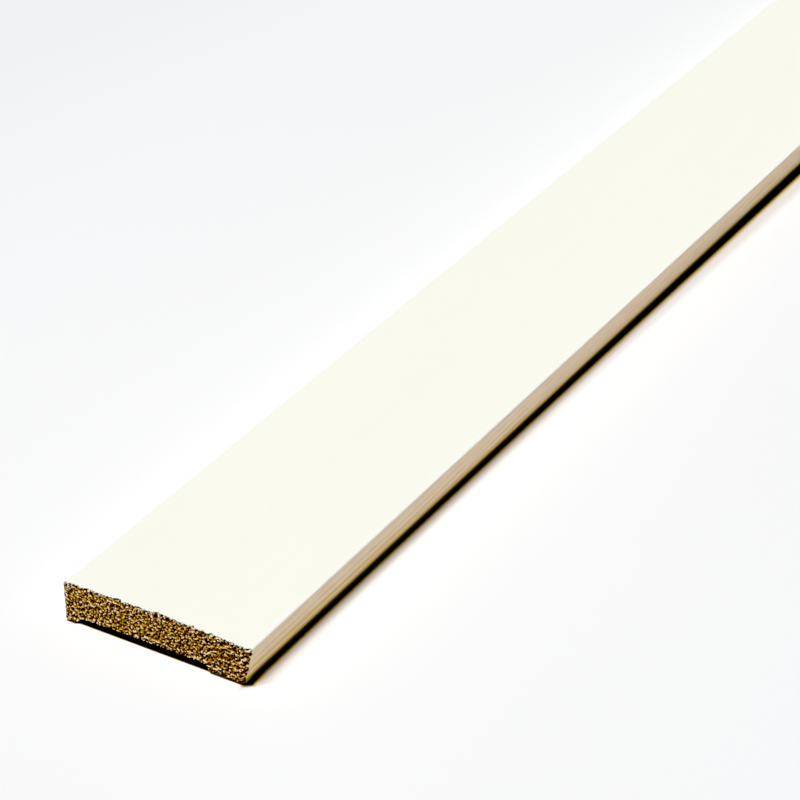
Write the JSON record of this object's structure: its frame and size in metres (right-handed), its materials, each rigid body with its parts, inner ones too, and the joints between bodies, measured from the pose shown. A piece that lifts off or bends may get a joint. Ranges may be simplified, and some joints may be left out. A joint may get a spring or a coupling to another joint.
{
  "type": "skirting board",
  "caption": "Length of plain softwood skirting board with a painted face, eased arrises, an undercut bottom edge and a shallow relief planed along the back.",
  "frame": {"origin": "under the middle of the board, in the plane of the two lands that its back rests on", "axes": "+X along the board, +Y across it towards its square top edge, +Z out of the painted face"},
  "size_m": [2.4, 0.0578, 0.0126],
  "materials": {
    "painted_softwood": "matte"
  },
  "bodies": {
    "root": {"skirting_board": "painted_softwood"}
  },
  "joints": []
}
